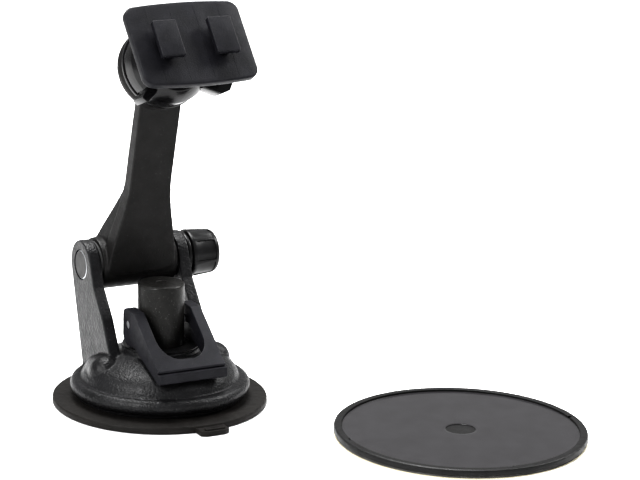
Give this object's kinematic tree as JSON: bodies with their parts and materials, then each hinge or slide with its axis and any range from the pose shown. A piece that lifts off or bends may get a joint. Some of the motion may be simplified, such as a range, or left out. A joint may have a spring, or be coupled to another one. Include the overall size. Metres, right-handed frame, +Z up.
{
  "type": "dash camera suction mount",
  "caption": "Lever-locked suction mount with a folding arm, ball head and T-tab holder plate, and a loose round adhesive dashboard disc.",
  "frame": {"origin": "centre of the suction membrane, on the surface that it is pressed to", "axes": "+Z straight up out of the suction face; +X along the arm's hinge axis towards the clamp knob; -Y towards the lever and the pull tab"},
  "size_m": [0.1681, 0.1669, 0.1522],
  "materials": {
    "housing_plastic": "fine satin texture",
    "arm_plastic": "fine matte texture",
    "lever_plastic": "fine matte texture",
    "knob_plastic": "satin",
    "nut_plastic": "gloss",
    "plate_plastic": "matte",
    "membrane_rubber": "matte",
    "washer_rubber": "matte",
    "plated_steel": "zinc plated",
    "brass": "turned",
    "disc_plastic": "gloss face in a satin rim",
    "foam_pad": "foam tape",
    "liner_paper": "coated paper"
  },
  "bodies": {
    "base": {"suction_membrane": "membrane_rubber", "release_spring": "plated_steel", "dome_housing": "housing_plastic", "cam_plate": "knob_plastic", "clamp_bolt": "plated_steel"},
    "post": {"lever_post": "housing_plastic", "pull_plate": "plated_steel", "pull_stud": "plated_steel", "lever_pin": "plated_steel"},
    "lever": {"lever": "lever_plastic"},
    "arm": {"main_arm": "arm_plastic", "pivot_washers": "washer_rubber"},
    "clamp_slider": {"clamp_collar": "knob_plastic"},
    "knob": {"clamp_knob": "knob_plastic", "knob_nut": "brass"},
    "nut_slider": {"pressure_ring": "nut_plastic"},
    "nut": {"ring_nut": "nut_plastic"},
    "ball": {"ball": "nut_plastic"},
    "stalk": {"plate_stalk": "plate_plastic"},
    "plate": {"holder_plate": "plate_plastic", "stud_screw": "plated_steel"},
    "disc": {"disc_plate": "disc_plastic", "disc_pad": "foam_pad", "disc_liner": "liner_paper"}
  },
  "joints": [
    {"name": "post_slide", "type": "slide", "parent": "base", "child": "post", "axis": [0, 0, 1], "range_m": [-0.0033, 0], "deforming": ["suction_membrane", "release_spring"]},
    {"name": "lever_hinge", "type": "hinge", "parent": "post", "child": "lever", "pos_m": [0, 0, 0.031], "axis": [-1, 0, 0], "range_deg": [0, 80]},
    {"name": "arm_hinge", "type": "hinge", "parent": "base", "child": "arm", "pos_m": [0, 0.0275, 0.0477], "axis": [-1, 0, 0], "range_deg": [-44, 100]},
    {"name": "knob_slide", "type": "slide", "parent": "base", "child": "clamp_slider", "axis": [1, 0, 0], "range_m": [0, 0.0013]},
    {"name": "knob_turn", "type": "hinge", "parent": "clamp_slider", "child": "knob", "pos_m": [0.0226, 0.0275, 0.0477], "axis": [1, 0, 0], "range_deg": [0, 540]},
    {"name": "nut_slide", "type": "slide", "parent": "arm", "child": "nut_slider", "axis": [0, -0.9336, 0.3584], "range_m": [0, 0.0011]},
    {"name": "nut_turn", "type": "hinge", "parent": "nut_slider", "child": "nut", "pos_m": [0, -0.00398, 0.1289], "axis": [0, -0.9336, 0.3584], "range_deg": [0, 240]},
    {"name": "ball_yaw", "type": "hinge", "parent": "arm", "child": "ball", "pos_m": [0, -0.00398, 0.1289], "axis": [0, 0.3584, 0.9336], "range_deg": [-18, 15]},
    {"name": "ball_pitch", "type": "hinge", "parent": "ball", "child": "stalk", "pos_m": [0, -0.00398, 0.1289], "axis": [0.9994, 0.0349, 0], "range_deg": [-8, 45]},
    {"name": "plate_roll", "type": "hinge", "parent": "stalk", "child": "plate", "pos_m": [0, -0.00398, 0.1289], "axis": [0.0271, -0.7767, 0.6293], "range_deg": [-90, 90]},
    {"name": "disc_lift", "type": "slide", "parent": "base", "child": "disc", "axis": [0, 0, 1], "range_m": [0, 0.06]}
  ],
  "couplings": [
    {"joint": "post_slide", "follows": "lever_hinge", "m_per_rad": -0.0022918},
    {"joint": "knob_slide", "follows": "knob_turn", "m_per_rad": 0.00012732},
    {"joint": "nut_slide", "follows": "nut_turn", "m_per_rad": 0.00023873}
  ]
}
